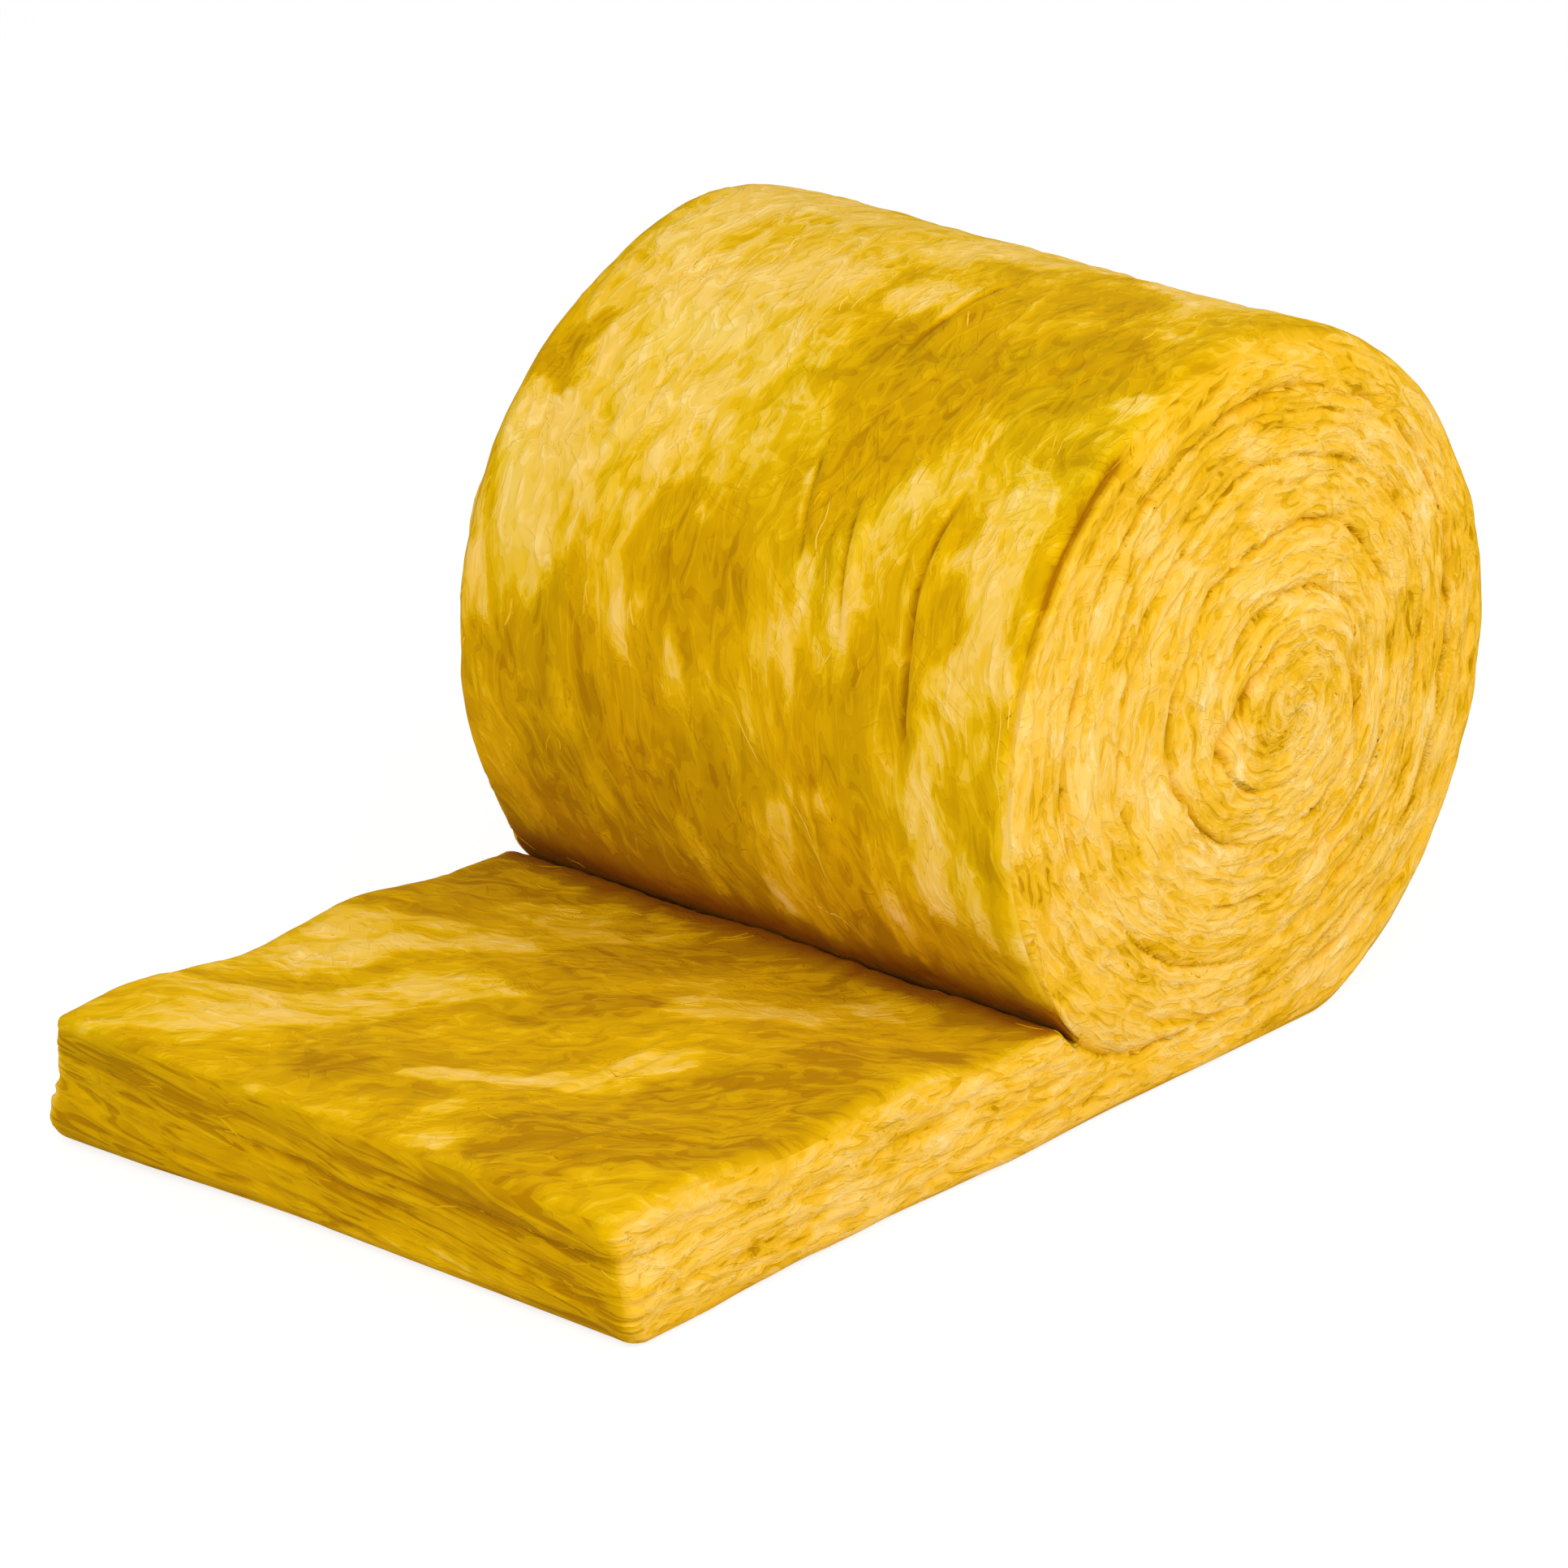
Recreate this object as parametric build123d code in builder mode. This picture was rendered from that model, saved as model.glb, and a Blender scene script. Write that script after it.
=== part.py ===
from build123d import *
import math
import os

# An insulation roll: one unfaced glass-wool blanket, wound up from its inner end and lying on its
# side, with its outer end left flat on the floor as a tail. Millimetres, +Z up. X runs along the
# blanket, the tail towards -X, and Y along the roll's axis. The origin is on the floor, under the
# middle of the whole length and width. Angles round the roll go from +X (0) over the top (90).

# Blanket and roll. The roll sags on the floor, so its axis lies lower than its radius.
blanket_width = 600
tail_thickness = 104
tail_reach = 771
roll_radius = 316
roll_sag = 18
floor_corner_radius = 100
tail_corner_radius = 22
rim_radius = 16
nip_radius = 4

# Waves along the top of the tail
wave_height = 5
wave_count = 2

# Seam between the turns, as it shows on both ends. Each turn is two half circles, the second half a
# pitch smaller in diameter than the first, joined by the flat runs that the sagging leaves.
first_seam_height = 42
outer_turn_thickness = 49
turn_pitch = 52
top_run = 16
bottom_run = 26
dive_radius = 150
seam_width = 8
seam_depth = 12
cutter_overshoot = 4

# Creases pressed into the roll's skin: distance from the near end, first and last angle, and depth
skin_creases = (
    (115, 136, 177, 7),
    (250, 93, 117, 4),
)
crease_width = 6

# Places worked out from those sizes
half_width = blanket_width / 2
axis_x = (tail_reach - roll_radius) / 2
axis_height = roll_radius - roll_sag
tail_end_x = axis_x - tail_reach
first_half_radius = (axis_height + roll_radius - outer_turn_thickness - first_seam_height) / 2
turn_count = math.floor(first_half_radius / turn_pitch)


def tangent_arc_angle(radius, lowest):
    """Where the skin meets an arc of that radius, inside it and tangent to a level line."""
    drop = axis_height - lowest - radius
    return -math.degrees(math.asin(drop / (roll_radius - radius)))


def skin_point(angle):
    """A point of the roll's round skin, in the section."""
    return (
        axis_x + roll_radius * math.cos(math.radians(angle)),
        axis_height + roll_radius * math.sin(math.radians(angle)),
    )


# The skin leaves the floor on a tangent corner arc, and at the nip it dives under itself on another.
floor_corner_angle = tangent_arc_angle(floor_corner_radius, 0)
nip_angle = 180 - tangent_arc_angle(dive_radius, first_seam_height)
floor_corner_reach = (roll_radius - floor_corner_radius) * math.cos(math.radians(floor_corner_angle))
floor_corner_x = axis_x + floor_corner_reach


def tail_top_point(share):
    """A point on the straight line that the tail's waves follow, from the nip (0) to the cut end (1)."""
    nip_x, nip_height = skin_point(nip_angle)
    return (
        nip_x + share * (tail_end_x - nip_x),
        nip_height + share * (tail_thickness - nip_height),
    )


with BuildPart() as seam_groove:
    # A V-shaped groove that follows the seam on the near end, from the nip to the eye
    with BuildLine(Plane.XZ.offset(half_width)) as winding:
        dive_heading = (-math.sin(math.radians(nip_angle)), math.cos(math.radians(nip_angle)))
        line = JernArc(skin_point(nip_angle), dive_heading, dive_radius, 270 - nip_angle)
        line = Line(line @ 1, (axis_x, first_seam_height))
        for turn in range(turn_count):
            half_radius = first_half_radius - turn * turn_pitch
            line = JernArc(line @ 1, line % 1, half_radius, 180)
            line = Line(line @ 1, line @ 1 + (line % 1) * top_run)
            line = JernArc(line @ 1, line % 1, half_radius - turn_pitch / 2, 180)
            if turn < turn_count - 1:
                line = Line(line @ 1, line @ 1 + (line % 1) * bottom_run)
    with BuildSketch(Plane(winding.line @ 0, x_dir=(0, -1, 0), z_dir=winding.line % 0)):
        with BuildLine():
            half_mouth = seam_width / 2 * (1 + cutter_overshoot / seam_depth)
            Polyline(
                (cutter_overshoot, half_mouth),
                (-seam_depth, 0),
                (cutter_overshoot, -half_mouth),
                close=True,
            )
        make_face()
    sweep()

with BuildPart() as crease_grooves:
    # Each crease is a V-shaped groove on a flatter arc than the skin's, so it runs out at both ends.
    for near_distance, first_angle, last_angle, depth in skin_creases:
        half_span = math.radians(last_angle - first_angle) / 2
        middle = math.radians(first_angle + last_angle) / 2
        rise = roll_radius * (1 - math.cos(half_span)) - depth
        centre_offset = depth * (2 * roll_radius - depth) / (2 * rise)
        groove_radius = roll_radius - depth + centre_offset
        sweep_angle = math.degrees(
            2 * math.atan2(
                roll_radius * math.sin(half_span),
                roll_radius * math.cos(half_span) + centre_offset,
            )
        )
        centre = Vector(
            axis_x - centre_offset * math.cos(middle),
            near_distance - half_width,
            axis_height - centre_offset * math.sin(middle),
        )
        start = middle - math.radians(sweep_angle) / 2
        radial = Vector(math.cos(start), 0, math.sin(start))
        with BuildSketch(Plane(centre, x_dir=radial, z_dir=radial.cross(Vector(0, 1, 0)))):
            with BuildLine():
                mouth_radius = groove_radius + depth + cutter_overshoot
                half_mouth = crease_width / 2 * (1 + cutter_overshoot / depth)
                Polyline(
                    (groove_radius, 0),
                    (mouth_radius, half_mouth),
                    (mouth_radius, -half_mouth),
                    close=True,
                )
            make_face()
        revolve(axis=Axis(centre, (0, -1, 0)), revolution_arc=sweep_angle)

with BuildPart() as wool_blanket:
    # The whole section, wound roll and flat tail in one outline
    with BuildSketch(Plane.XZ.offset(-half_width)) as section:
        with BuildLine():
            floor_line = Line((tail_end_x, 0), (floor_corner_x, 0))
            CenterArc(
                (floor_corner_x, floor_corner_radius),
                floor_corner_radius,
                -90,
                90 + floor_corner_angle,
            )
            CenterArc(
                (axis_x, axis_height),
                roll_radius,
                floor_corner_angle,
                nip_angle - floor_corner_angle,
            )
            for wave in range(2 * wave_count):
                wave_start = tail_top_point(wave / wave_count / 2)
                wave_end = tail_top_point((wave + 1) / wave_count / 2)
                tail_top = SagittaArc(wave_start, wave_end, wave_height * (-1) ** wave)
            Line(tail_top @ 1, floor_line @ 0)
        make_face()
        fillet(section.vertices().group_by(Axis.X)[0], tail_corner_radius)
        fillet(section.vertices().sort_by_distance(skin_point(nip_angle))[0], nip_radius)
    extrude(amount=blanket_width)

    # Both rims are soft and round, all the way along roll and tail.
    ends = wool_blanket.faces().filter_by(Axis.Y)
    fillet(ends.edges(), rim_radius)

    add(seam_groove.part, mode=Mode.SUBTRACT)
    add(seam_groove.part.mirror(Plane.XZ), mode=Mode.SUBTRACT)
    add(crease_grooves.part, mode=Mode.SUBTRACT)

os.makedirs("parts", exist_ok=True)
wool_blanket.part.label = "wool_blanket"
export_step(wool_blanket.part, "parts/wool_blanket.step")
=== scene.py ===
import itertools
import math

import bpy
import numpy as np
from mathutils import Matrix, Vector
from mathutils.bvhtree import BVHTree
from mathutils.geometry import delaunay_2d_cdt


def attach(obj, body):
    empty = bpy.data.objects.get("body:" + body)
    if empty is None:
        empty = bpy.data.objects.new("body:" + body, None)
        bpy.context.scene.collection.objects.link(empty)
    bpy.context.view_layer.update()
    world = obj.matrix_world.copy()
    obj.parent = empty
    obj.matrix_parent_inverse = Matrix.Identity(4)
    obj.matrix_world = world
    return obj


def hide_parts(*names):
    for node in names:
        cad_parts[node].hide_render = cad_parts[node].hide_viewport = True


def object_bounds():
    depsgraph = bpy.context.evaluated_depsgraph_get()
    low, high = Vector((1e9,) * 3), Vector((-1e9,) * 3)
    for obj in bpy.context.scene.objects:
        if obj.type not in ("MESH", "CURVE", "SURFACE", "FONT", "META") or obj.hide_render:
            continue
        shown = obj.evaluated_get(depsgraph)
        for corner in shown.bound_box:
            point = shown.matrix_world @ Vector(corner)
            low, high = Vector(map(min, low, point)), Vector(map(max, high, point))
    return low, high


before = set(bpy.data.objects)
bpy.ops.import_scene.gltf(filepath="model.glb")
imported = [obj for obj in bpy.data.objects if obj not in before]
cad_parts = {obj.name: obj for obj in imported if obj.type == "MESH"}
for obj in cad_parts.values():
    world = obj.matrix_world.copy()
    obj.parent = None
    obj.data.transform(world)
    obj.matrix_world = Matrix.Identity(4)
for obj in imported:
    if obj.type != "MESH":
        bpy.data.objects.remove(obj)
cad_low, cad_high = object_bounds()

TAU = 2 * math.pi

# Sizes of the section that the solid has too, in metres
ROLL_RADIUS = 0.316
FLOOR_CORNER = 0.100
FIRST_SEAM_HEIGHT = 0.042
OUTER_TURN = 0.049
PITCH = 0.052
DIVE_RADIUS = 0.150
TAIL_THICKNESS = 0.104
WAVE_HEIGHT = 0.005
WAVE_COUNT = 2

# Sizes of the section that only the wool has: the cut end's corners, the cleft at the nip with its
# length and mouth in radians, and the tail's round lip beside it
TAIL_CORNER = 0.026
TOP_CORNER = 0.011
CLEFT_TURN = math.radians(11)
CLEFT_MOUTH = 0.03
CLEFT_GAP = 0.003
LIP_RADIUS = 0.018

# Places worked out from the frame
HALF_WIDTH = cad_high.y
TAIL_END_X = cad_low.x
AXIS_X = cad_high.x - ROLL_RADIUS
AXIS_Z = cad_high.z - ROLL_RADIUS

# The seam is a spiral, a little wider than it is tall. Its centre moves by the drift with each turn,
# between two turns.
SPIRAL_RADIUS = (AXIS_Z + ROLL_RADIUS - OUTER_TURN - FIRST_SEAM_HEIGHT) / 2 + PITCH / 4
SPIRAL_HEIGHT = FIRST_SEAM_HEIGHT + SPIRAL_RADIUS
SPIRAL_WIDENING = 0.008
EYE_DRIFT = (0.013, -0.006)
DRIFTING_TURNS = (-0.5, 5)
INNERMOST_TURN = 4

# The fibres on the tail's top lie slantwise, at this angle from +X.
FIBRE_ANGLE = math.radians(-50)
FIBRE_COS, FIBRE_SIN = math.cos(FIBRE_ANGLE), math.sin(FIBRE_ANGLE)

# Fineness of the mesh: metres between points, and counts of rows. The outline is finer over the
# last radians before the nip, and the far end is coarser than the near one by a factor. The rows
# of an end start shifted against each other.
OUTLINE_STEP = 0.006
FLOOR_STEP = 0.036
NIP_STEP = 0.0025
NIP_APPROACH = 0.12
WIDTH_STEP = 0.0056
CREASE_STEP = 0.002
CREASE_ROWS = 5
RIM_ROWS = 8
NEAR_ROW_STEP = 0.0027
NEAR_POINT_STEP = 0.0052
NEAR_RING_MARGIN = 0.0022
FAR_STEP_FACTOR = 2.0
SEAM_ROWS = (-0.0045, -0.002, 0, 0.002, 0.0045)
SEAM_CLEARANCE = 0.006
ROW_STAGGER = 371

# Rims: how round they are on the roll, on the tail and in the cleft, how much softer over the top
# (with the middle and spread of that, in degrees), and how far in the rows still follow them
RIM_RADIUS = 0.016
TAIL_RIM_RADIUS = 0.013
CLEFT_RIM_RADIUS = 0.005
TOP_SOFTNESS = 0.026
SOFT_TOP = (80, 36)
RIM_BLEND = 0.080

# How close to the roll's circle a point still counts as its skin, and how far above the tail's
# thickness a point still counts as tail
SKIN_TOLERANCE = 0.001
TAIL_CLEARANCE = 0.012

# How far the wound layers wander. For each scale of that: its size, what the wander is divided by
# for it, and a seed for each axis. The wander sets in between two distances from the nip.
WANDER = 0.006
WANDER_SCALES = ((0.17, 1, 3.1, 8.4), (0.05, 3, 5.7, 6.6), (0.018, 5, 4.2, 9.8))
WANDER_START = (0.03, 0.10)

# Seam between the turns on both ends: half its width and its depth
SEAM_HALF_WIDTH = 0.0032
SEAM_DEPTH = 0.005

# Waves of the skin: height, size along the blanket and across it, seed
SKIN_WAVES = ((0.0030, 0.17, 0.13, 2.2), (0.0013, 0.055, 0.040, 4.1), (0.0004, 0.014, 0.013, 9.3))

# Creases in the roll's skin: distance from the near end, first and last angle, drift over that
# stretch, half the width and the depth
SKIN_CREASES = (
    (0.115, 134, 178, -0.010, 0.0028, 0.0090),
    (0.250, 92, 118, 0.010, 0.0025, 0.0040),
    (0.198, 138, 164, -0.034, 0.0025, 0.0045),
    (0.255, 132, 155, -0.036, 0.0025, 0.0040),
)

# Folds and crevices: the start and end of each, half its width and its depth. A place is its X, its
# distance from the near end and its height.
FOLDS = (
    (0.29, 0, 0.038, 0.37, 0, 0.064, 0.0035, 0.008),
    (0.36, 0, 0.062, 0.42, 0, 0.093, 0.0035, 0.008),
    (0.486, 0, 0.362, 0.481, 0, 0.318, 0.005, 0.006),
    (0.272, 0, 0.352, 0.222, 0, 0.322, 0.0045, 0.009),
    (0.228, 0, 0.328, 0.18, 0, 0.28, 0.0062, 0.013),
    (0.183, 0, 0.288, 0.17, 0, 0.244, 0.005, 0.009),
    (0.03, 0, 0.378, 0.083, 0, 0.468, 0.0036, 0.007),
    (0.078, 0, 0.464, 0.192, 0, 0.507, 0.0032, 0.005),
    (0.45, 0, 0.25, 0.416, 0, 0.15, 0.0042, 0.007),
    (0.355, 0, 0.322, 0.366, 0, 0.242, 0.005, 0.007),
    (0.12, 0, 0.451, 0.056, 0, 0.388, 0.003, 0.006),
    (-0.543, 0.42, 0.059, -0.543, 0.2, 0.049, 0.0045, 0.007),
    (-0.543, 0.2, 0.088, -0.543, 0.03, 0.068, 0.0045, 0.003),
    (-0.543, 0.48, 0.03, -0.543, 0.26, 0.018, 0.004, 0.006),
    (-0.543, 0.16, 0.046, -0.543, 0.02, 0.03, 0.004, 0.006),
    (-0.365, 0.414, 0.1, -0.312, 0.289, 0.1, 0.0045, 0.005),
    (-0.486, 0.412, 0.1, -0.43, 0.377, 0.1, 0.0045, 0.004),
    (-0.45, 0.12, 0.1, -0.38, 0.03, 0.1, 0.005, 0.004),
    (-0.36, 0, 0.062, -0.14, 0, 0.07, 0.0035, 0.004),
    (-0.5, 0, 0.04, -0.33, 0, 0.034, 0.0035, 0.004),
    (-0.12, 0, 0.03, 0.08, 0, 0.026, 0.0035, 0.004),
)

# The cut end: how much its layers drop towards the near corner, how much their pattern is drawn
# out, the height of the top sheet's lip, how far under it its shadow lies, and how much both sag
CUT_SLANT = 0.11
CUT_STRETCH = 0.42
LIP_HEIGHT = 0.094
LIP_SHADOW = 0.018
LIP_SAG = 0.006

# Groove where the skin has come away from the near end's rim: first and last angle, tilt of the rim
# there, its spread and its depth
RIM_GROOVE = (119, 172, 0.72, 0.24, 0.009)

# Bulges of the roll: angle, distance from the near end, spread of each, and rise
BULGES = (
    (148, 0.00, 9, 0.20, 0.011),
    (198, 0.00, 9, 0.20, 0.009),
    (93, 0.60, 20, 0.19, 0.009),
    (115, 0.00, 8, 0.15, -0.005),
    (82, 0.38, 18, 0.10, 0.005),
)

# Corners of the tail that flare out, from this X on: which side of the middle, from which height
# down, and how far
FLARE_START = -0.30
FLARES = (
    (1, 0.30, (-0.004, 0.006)),
    (1, 0.060, (-0.009, 0.004)),
    (-1, 0.080, (0.000, -0.008)),
)
TAIL_FAR_RISE = 0.007
TAIL_SIDE_FULLNESS = 0.004

# Patches of paler (+) and deeper (-) wool on the roll: angle, distance from the near end, radius and
# strength
ROLL_PATCHES = (
    (95, 0.51, 0.12, 0.3), (106, 0.43, 0.09, 0.3), (118, 0.42, 0.075, 0.26), (125, 0.47, 0.085, 0.28),
    (137, 0.51, 0.07, 0.34), (149, 0.55, 0.06, 0.4), (154, 0.53, 0.075, 0.14), (84, 0.36, 0.07, 0.24),
    (74, 0.28, 0.06, 0.26), (72, 0.14, 0.06, 0.24), (104, 0.29, 0.028, 0.2), (117, 0.35, 0.03, 0.2),
    (140, 0.4, 0.04, 0.18), (166, 0.56, 0.05, 0.24), (150, 0.06, 0.04, 0.3), (138, 0.06, 0.032, 0.2),
    (161, 0.055, 0.036, 0.32), (172, 0.055, 0.03, 0.18), (113, 0.03, 0.018, 0.45),
    (131, 0.56, 0.035, -0.45), (104, 0.44, 0.012, -0.4), (120, 0.22, 0.08, -0.3),
    (110, 0.1, 0.06, -0.24), (156, 0.38, 0.07, -0.26), (140, 0.25, 0.06, -0.14),
    (176, 0.5, 0.06, -0.2), (180, 0.33, 0.08, -0.16), (200, 0.4, 0.11, -0.22), (175, 0.2, 0.06, -0.1),
    (56, 0.22, 0.045, 0.22), (50, 0.41, 0.075, 0.24), (34, 0.12, 0.06, 0.24), (38, 0.53, 0.06, -0.2),
    (18, 0.33, 0.08, 0.22), (5, 0.1, 0.055, -0.2), (-12, 0.48, 0.07, 0.2),
)
# Flecks on the roll in the same form. Lengths round it are taken times the stretch, which draws the
# flecks out, and the slant turns them.
FLECKS = (
    (168, 0.243, 0.016, 0.34), (179, 0.351, 0.016, 0.3), (191, 0.254, 0.015, 0.32),
    (193, 0.188, 0.013, 0.34), (194, 0.083, 0.015, 0.36), (203, 0.352, 0.013, 0.3),
    (209, 0.265, 0.01, 0.34), (195, 0.14, 0.01, 0.3), (185, 0.469, 0.016, 0.26),
    (200, 0.446, 0.013, 0.24), (184, 0.092, 0.014, 0.26), (194, 0.04, 0.014, 0.3),
    (152, 0.237, 0.012, 0.3), (147, 0.355, 0.012, 0.28), (141, 0.262, 0.01, 0.3),
    (135, 0.17, 0.01, 0.24), (161, 0.18, 0.012, 0.22), (172, 0.42, 0.014, 0.22),
    (195, 0.297, 0.018, -0.3), (201, 0.178, 0.02, -0.3), (200, 0.51, 0.03, -0.26),
    (165, 0.3, 0.014, -0.22), (182, 0.21, 0.014, -0.22),
)
FLECK_STRETCH = 0.34
FLECK_SLANT = 0.20
# Patches on the tail with X in place of the angle, drawn out along its fibres in the same way
TAIL_PATCHES = (
    (-0.45, 0.53, 0.07, 0.46), (-0.3, 0.57, 0.05, 0.4), (-0.16, 0.21, 0.036, 0.46),
    (-0.29, 0.41, 0.03, 0.38), (-0.41, 0.28, 0.028, 0.52), (-0.35, 0.21, 0.028, 0.52),
    (-0.28, 0.17, 0.02, 0.4), (-0.1, 0.15, 0.026, 0.4), (-0.1, 0.44, 0.032, 0.28),
    (-0.22, 0.5, 0.036, 0.32), (-0.5, 0.2, 0.026, 0.28), (-0.43, 0.09, 0.06, -0.32),
    (-0.28, 0.06, 0.05, -0.34), (-0.16, 0.08, 0.04, -0.24), (-0.12, 0.34, 0.05, -0.32),
    (-0.47, 0.37, 0.034, -0.34), (-0.24, 0.3, 0.036, -0.28), (-0.36, 0.46, 0.022, -0.26),
)
TAIL_PATCH_STRETCH = 0.5
# How far the edges of all these patches stray, for a radius of one metre
PATCH_STRAY = 0.12

# Paler (+) and deeper (-) spots on the near end: X and height of the middle, the spread along the
# blanket, which is half of the spread over the height, and the strength
END_PATCHES = (
    (0.206, 0.251, 0.006, 0.5), (0.3, 0.475, 0.022, 0.12), (0.005, 0.3, 0.014, 0.12),
    (0.1, 0.25, 0.018, 0.1), (0.3, 0.25, 0.03, 0.08), (0.16, 0.548, 0.04, -0.1),
    (0.44, 0.31, 0.014, -0.16), (0.06, 0.2, 0.012, -0.12), (0.23, 0.08, 0.04, -0.08),
)

# How pale the skin and the ends are before any patches, and how much less the tail's top, the cut
# end and its upper part are, and how much painted shade darkens the low part of the roll by the nip
SKIN_TONE = 0.475
END_TONE = 0.578
TAIL_TONE = 0.145
CUT_TONE = 0.09
CUT_TOP_TONE = 0.08
LOW_SHADE_TONE = 0.10

# Loose wool lying on the surface. For each kind: how many starts, most to a start, stations along
# one, its length, its width, how far it strays from the fibres' way in radians, how much it curls,
# and how much paler it is than the wool under it
LOOSE_WOOL = {
    "wool_flakes": (420, 2, 7, (0.012, 0.036), (0.0020, 0.0046), 0.30, 0.7, (-0.04, 0.14)),
    "wool_threads": (50, 1, 9, (0.030, 0.070), (0.0007, 0.0012), 0.45, 1.3, (0.04, 0.18)),
    "wool_hairs": (260, 2, 5, (0.008, 0.020), (0.0005, 0.0009), 0.60, 0.9, (0.00, 0.16)),
}
# How far apart the strands of one start begin, how high a strand stands and how deep it sinks for
# its width, and how thickly the ends are strewn where the rest counts as 1
LOOSE_SPREAD = 0.004
LOOSE_HEIGHT = 0.12
LOOSE_SINK = 0.1
LOOSE_ON_ENDS = 0.15

# Long threads by place on the roll: angle and distance from the near end of the points they pass,
# their width and how pale they are
PLACED_THREADS = (
    ((142, 0.240), (145, 0.235), (149, 0.238), (152, 0.226)),
    ((151, 0.222), (154, 0.215), (158, 0.214)),
    ((166, 0.272), (165, 0.255), (168, 0.236), (172, 0.222)),
    ((160, 0.028), (167, 0.016), (174, 0.014), (180, 0.008)),
    ((164, 0.205), (166, 0.198), (163, 0.192)),
    ((186, 0.235), (191, 0.216), (196, 0.205), (201, 0.196)),
    ((206, 0.240), (208, 0.222), (207, 0.205), (211, 0.190)),
    ((176, 0.290), (181, 0.270), (184, 0.262)),
)
THREAD_WIDTH = 0.0021
THREAD_TONE = 0.76

# Colours in linear light: how pale the wool is, then red, green and blue
SKIN_COLOURS = (
    (0.00, 0.44, 0.20, 0.0), (0.20, 0.61, 0.325, 0.0), (0.38, 0.70, 0.385, 0.0),
    (0.50, 0.76, 0.435, 0.001), (0.62, 0.84, 0.505, 0.022), (0.76, 0.88, 0.555, 0.080),
    (0.90, 0.93, 0.60, 0.135), (1.00, 0.96, 0.68, 0.200),
)
# Painted shade: olive tints for the side of the wool that faces -X
SHADE_SIDE_OLIVE_COLOURS = (
    (0.00, 0.36, 0.22, 0.0), (0.30, 0.54, 0.37, 0.0), (0.55, 0.72, 0.52, 0.004),
    (0.80, 0.84, 0.64, 0.080), (1.00, 0.90, 0.74, 0.240),
)
END_COLOURS = (
    (0.00, 0.50, 0.22, 0.0), (0.22, 0.76, 0.41, 0.003), (0.42, 0.87, 0.48, 0.024),
    (0.55, 0.905, 0.53, 0.060), (0.70, 0.93, 0.58, 0.115), (0.85, 0.95, 0.63, 0.175),
    (1.00, 0.97, 0.74, 0.310),
)
# Painted shade: the dark brown that the deepest hollows and the nip turn to
NIP_SHADE_COLOUR = (0.29, 0.066, 0.0, 1)

# How fine the pattern is along and across the fibres, on the roll's skin, the tail's top and the
# ends; how much it slants and is drawn out on the roll's lower skin, from which angle on and over
# how many degrees at most
SKIN_FINENESS = (1.30, 0.72)
TAIL_FINENESS = (1.00, 0.62)
END_FINENESS = (1.3, 1.3, 1.0)
LOWER_SLANT = (0.20, 158, 70)
LOWER_STRETCH = (0.36, 150, 75)

# Sheets across the fibres, to a metre, and the part of each over which its edge drops
SHEETS_PER_METRE = 40
SHEET_EDGE = 0.1
# Steps of paleness between overlapping sheets, and the width of each step
TONE_STEPS = (0.36, 0.47, 0.58, 0.70)
TONE_STEP_WIDTH = 0.026
# From and to where slivers of the pattern turn pale, turn deep and open into crevices, which are
# also darkened with painted shade
PALE_SLIVERS = (0.570, 0.605)
DEEP_SLIVERS = (0.415, 0.380)
CREVICES = (0.355, 0.325)
BUMP_STRENGTH = 0.8
BUMP_HEIGHT = 0.006

# Floor, light and camera. A lamp has its azimuth, from -Y towards +X, and its elevation in degrees,
# then its distance, size and energy.
FLOOR_HALF_SIZE = 30
FLOOR_DROP = 0.0005
WORLD_STRENGTH = 0.58
LAMPS = (("key", 14, 36, 3.0, 1.6, 33), ("fill", -70, 35, 3.2, 2.4, 43))
CAMERA_PLACE = (-4.3023, -3.7760, 2.4471)
CAMERA_AZIMUTH = -48.909
CAMERA_ELEVATION = 20.667
CAMERA_LENS = 172.5
CAMERA_SHIFT = (-0.0207, -0.0465)


# Noise

noise_random = np.random.default_rng(7)
NOISE_ORDER = noise_random.permutation(256)
NOISE_SLOPES = noise_random.normal(size=(256, 3))
NOISE_SLOPES /= np.linalg.norm(NOISE_SLOPES, axis=1)[:, None]
NOISE_GAIN = 1.7


def stack(*parts):
    """The parts side by side on a new last axis."""
    return np.stack(parts, axis=-1)


def noise(first, second, third):
    """Smooth noise, mostly from -1 to 1, at points given by three arrays or numbers."""
    points = stack(*np.broadcast_arrays(first, second, third))
    cells = np.floor(points).astype(np.int64)
    parts = points - cells
    eased = parts**3 * (parts * (parts * 6 - 15) + 10)
    total = np.zeros(points.shape[:-1])
    for corner in itertools.product((0, 1), repeat=3):
        place = (cells + corner) & 255
        key = NOISE_ORDER[place[..., 0]]
        key = NOISE_ORDER[(key + place[..., 1]) & 255]
        key = NOISE_ORDER[(key + place[..., 2]) & 255]
        weight = np.prod(np.where(corner, eased, 1 - eased), axis=-1)
        total += weight * np.sum(NOISE_SLOPES[key] * (parts - corner), axis=-1)
    return total * NOISE_GAIN


def layered(first, second, third):
    """Noise on three scales at once, each half as large and half as strong as the one before."""
    return sum(
        noise(first * scale, second * scale, third + 17.3 * layer) / scale
        for layer, scale in enumerate((1, 2, 4))
    )


def ridges(first, second, third):
    """1 along thin wandering lines and falling off to 0 between them."""
    return 1 - np.minimum(1, np.abs(noise(first, second, third)) * 2.2)


def terrace(value):
    """Steps that rise slowly from 0 to 1 and then drop, once for each whole number."""
    part = value % 1
    return np.where(part < 0.7, part / 0.7, (1 - part) / 0.3)


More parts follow.
